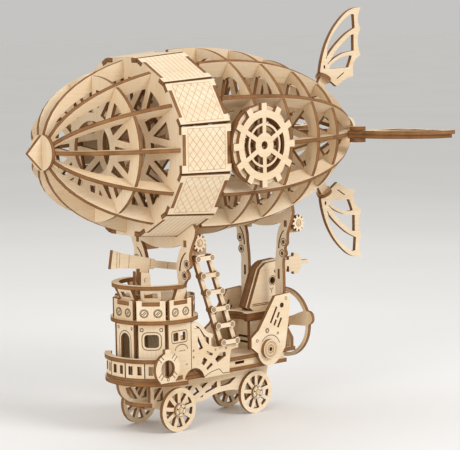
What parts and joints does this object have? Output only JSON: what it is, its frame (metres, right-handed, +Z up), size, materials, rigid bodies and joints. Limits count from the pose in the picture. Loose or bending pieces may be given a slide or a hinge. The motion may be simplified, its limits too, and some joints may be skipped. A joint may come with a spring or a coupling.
{
  "type": "plywood airship model",
  "caption": "Laser-cut plywood airship model: ribbed open envelope with bat-wing fins on saddles over a wheeled car with tower, telescope, ladder and ring propeller.",
  "frame": {"origin": "on the ground under the middle of the model's length, on its centre plane", "axes": "-X towards the nose, +X towards the tail, -Y the side with the ladder, +Z up"},
  "size_m": [0.2814, 0.168, 0.2589],
  "materials": {
    "board_light": "bare basswood plywood, pale faces with charred laser-cut edges",
    "board_mid": "bare basswood plywood, pale faces with charred laser-cut edges",
    "board_dark": "bare basswood plywood boards seen mostly by their charred edges"
  },
  "bodies": {
    "airship": {"nose_cap": "board_light", "front_ribs": "board_mid", "aft_ribs": "board_mid", "ring_1": "board_light", "ring_2": "board_light", "ring_3": "board_light", "ring_4": "board_light", "ring_5": "board_light", "ring_6": "board_light", "ring_7": "board_light", "band_panels": "board_light", "emblem_backings": "board_mid", "emblem_wheels": "board_light", "tail_cap": "board_light", "vertical_fins": "board_light", "side_fins": "board_light", "fin_collars": "board_dark", "front_saddle": "board_mid", "rear_saddle": "board_mid", "gear_brackets": "board_mid", "gear_pins": "board_dark", "ladder_rails": "board_mid", "ladder_rungs": "board_light", "crow_rail": "board_dark", "crow_slats": "board_light", "crow_floor": "board_dark", "tower_panels": "board_light", "tower_floor": "board_dark", "wheelhouse_panels": "board_light", "bow_rail": "board_dark", "bow_windows": "board_light", "upper_deck": "board_dark", "lower_deck": "board_dark", "lifebuoy": "board_light", "bow_keel": "board_mid", "chassis_beams": "board_mid", "side_trusses": "board_light", "handrails": "board_light", "rear_risers": "board_light", "rear_floor": "board_dark", "rear_housings": "board_light", "housing_discs": "board_light", "boiler": "board_light", "horn": "board_light", "seat": "board_mid", "stern_frames": "board_mid"},
    "front_axle_set": {"front_axle": "board_dark", "front_wheels": "board_light"},
    "rear_axle_set": {"rear_axle": "board_dark", "rear_wheels": "board_light"},
    "propeller_set": {"propeller": "board_light", "propeller_shaft": "board_dark"},
    "telescope_mount": {"telescope_post": "board_mid"},
    "telescope_tube": {"telescope": "board_light"},
    "gear_fn": {"gear_front_near": "board_light"},
    "gear_ff": {"gear_front_far": "board_light"},
    "gear_rn": {"gear_rear_near": "board_light"},
    "gear_rf": {"gear_rear_far": "board_light"}
  },
  "joints": [
    {"name": "front_axle_turn", "type": "hinge", "parent": "airship", "child": "front_axle_set", "pos_m": [-0.04418, 0, 0.01364], "axis": [0, 1, 0], "continuous": true},
    {"name": "rear_axle_turn", "type": "hinge", "parent": "airship", "child": "rear_axle_set", "pos_m": [0.02692, 0, 0.01364], "axis": [0, 1, 0], "continuous": true},
    {"name": "propeller_turn", "type": "hinge", "parent": "airship", "child": "propeller_set", "pos_m": [0.06706, 0, 0.05318], "axis": [1, 0, 0], "continuous": true},
    {"name": "telescope_swivel", "type": "hinge", "parent": "airship", "child": "telescope_mount", "pos_m": [-0.05568, 0, 0.08248], "axis": [0, 0, 1], "range_deg": [-15, 15]},
    {"name": "telescope_tilt", "type": "hinge", "parent": "telescope_mount", "child": "telescope_tube", "pos_m": [-0.05568, 0, 0.09398], "axis": [0, 1, 0], "range_deg": [-6, 6]},
    {"name": "gear_front_near_turn", "type": "hinge", "parent": "airship", "child": "gear_fn", "pos_m": [-0.03093, -0.02515, 0.11623], "axis": [0, 1, 0], "continuous": true},
    {"name": "gear_front_far_turn", "type": "hinge", "parent": "airship", "child": "gear_ff", "pos_m": [-0.03093, 0.02515, 0.11623], "axis": [0, 1, 0], "continuous": true},
    {"name": "gear_rear_near_turn", "type": "hinge", "parent": "airship", "child": "gear_rn", "pos_m": [0.05451, -0.02515, 0.1214], "axis": [0, 1, 0], "continuous": true},
    {"name": "gear_rear_far_turn", "type": "hinge", "parent": "airship", "child": "gear_rf", "pos_m": [0.05451, 0.02515, 0.1214], "axis": [0, 1, 0], "continuous": true}
  ]
}
